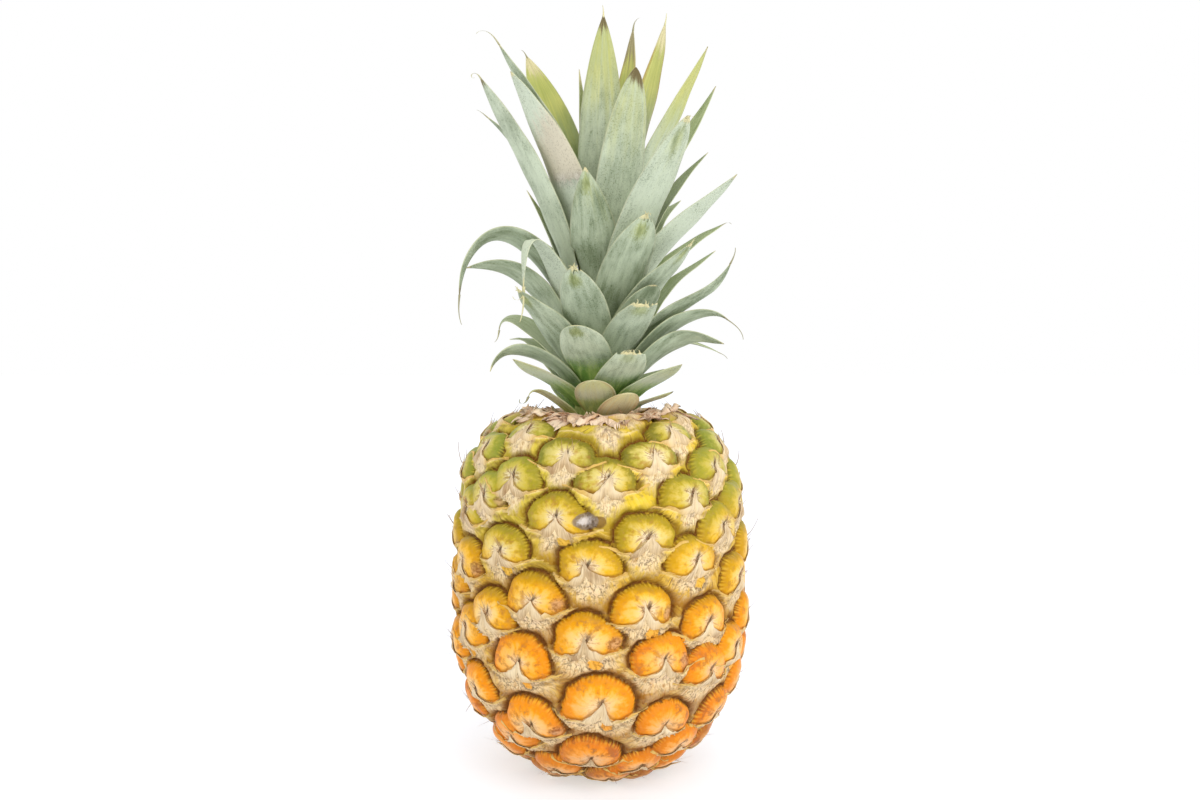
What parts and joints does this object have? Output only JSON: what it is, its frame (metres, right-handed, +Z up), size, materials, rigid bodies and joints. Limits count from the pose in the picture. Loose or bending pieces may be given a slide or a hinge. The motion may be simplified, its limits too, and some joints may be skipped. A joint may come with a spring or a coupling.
{
  "type": "pineapple",
  "caption": "Ripe whole pineapple standing on its cut base, with a knobbly orange-yellow fruit, a dry collar and a full crown of stiff grey-green leaves.",
  "frame": {"origin": "centre of the cut stalk's face, which is flush with the flat of the base", "axes": "+Z up along the fruit and the crown; -Y is the front"},
  "size_m": [0.1218, 0.1223, 0.3101],
  "materials": {
    "rind": "waxy knobbly rind, orange below and olive yellow above",
    "stalk_fibre": "dry cut fibre",
    "crown_pith": "pale green, matte",
    "dry_bract": "papery, matte",
    "leaf_skin": "waxy grey-green, finely striped along the leaf"
  },
  "bodies": {
    "root": {"fruit": "rind", "stalk_stub": "stalk_fibre", "crown_stem": "crown_pith", "collar": "dry_bract", "leaf_01_front_low_right": "leaf_skin", "leaf_02_back_01": "leaf_skin", "leaf_03_left_low_curl": "leaf_skin", "leaf_04_right_low": "leaf_skin", "leaf_05_back_02": "leaf_skin", "leaf_06_front_low_left": "leaf_skin", "leaf_07_back_03": "leaf_skin", "leaf_08_right_low_broad": "leaf_skin", "leaf_09_left_low_broad": "leaf_skin", "leaf_10_back_04": "leaf_skin", "leaf_11_front_cut": "leaf_skin", "leaf_12_back_06": "leaf_skin", "leaf_13_back_05": "leaf_skin", "leaf_14_right_droop": "leaf_skin", "leaf_15_left_droop": "leaf_skin", "leaf_16_right_under": "leaf_skin", "leaf_17_front_round": "leaf_skin", "leaf_18_left_curl": "leaf_skin", "leaf_19_right_dried": "leaf_skin", "leaf_20_left_broad": "leaf_skin", "leaf_21_back_07": "leaf_skin", "leaf_22_front_cut_right": "leaf_skin", "leaf_23_right_thin": "leaf_skin", "leaf_24_front_frayed": "leaf_skin", "leaf_25_right_upcurl": "leaf_skin", "leaf_26_back_08": "leaf_skin", "leaf_27_left_level": "leaf_skin", "leaf_28_front_dark": "leaf_skin", "leaf_29_back_09": "leaf_skin", "leaf_30_left_hang": "leaf_skin", "leaf_31_right_broken": "leaf_skin", "leaf_32_back_10": "leaf_skin", "leaf_33_right_tip_curl": "leaf_skin", "leaf_34_front_big": "leaf_skin", "leaf_35_left_ribbon": "leaf_skin", "leaf_36_back_11": "leaf_skin", "leaf_37_right_lance": "leaf_skin", "leaf_38_left_brown": "leaf_skin", "leaf_39_right_shade": "leaf_skin", "leaf_40_right_broad": "leaf_skin", "leaf_41_left_tall": "leaf_skin", "leaf_42_back_12": "leaf_skin", "leaf_43_front_fold": "leaf_skin", "leaf_44_left_outer": "leaf_skin", "leaf_45_right_back": "leaf_skin", "leaf_46_front_brown_tip": "leaf_skin", "leaf_47_back_13": "leaf_skin", "leaf_48_left_pale": "leaf_skin", "leaf_49_right_slender": "leaf_skin", "leaf_50_left_lime": "leaf_skin", "leaf_51_inner_tan": "leaf_skin", "leaf_52_left_slender": "leaf_skin", "leaf_53_right_yellow": "leaf_skin", "leaf_54_inner_thin": "leaf_skin", "leaf_55_tallest": "leaf_skin"}
  },
  "joints": []
}
